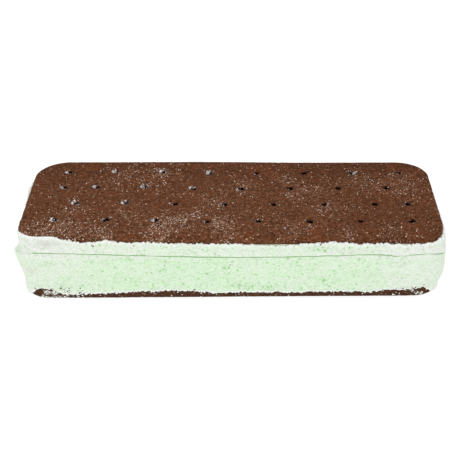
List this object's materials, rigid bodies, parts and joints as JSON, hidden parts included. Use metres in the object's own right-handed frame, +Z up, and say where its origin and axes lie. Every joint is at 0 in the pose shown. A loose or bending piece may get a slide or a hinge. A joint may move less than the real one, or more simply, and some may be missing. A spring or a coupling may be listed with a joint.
{
  "type": "ice cream sandwich",
  "caption": "Oblong mint ice cream sandwich: a pale green block of ice cream between docked chocolate wafers, with rounded corners and a crease round its sides.",
  "frame": {"origin": "under the middle of the sandwich, on the surface it rests on", "axes": "+X along the length towards the right end, +Y across the width towards the back, +Z up through the layers"},
  "size_m": [0.1247, 0.0477, 0.0209],
  "materials": {
    "wafer": "matte baked chocolate wafer with a light frost",
    "ice_cream": "soft matte frozen mint ice cream"
  },
  "bodies": {
    "root": {"wafer_top": "wafer", "ice_cream": "ice_cream", "wafer_bottom": "wafer"}
  },
  "joints": []
}
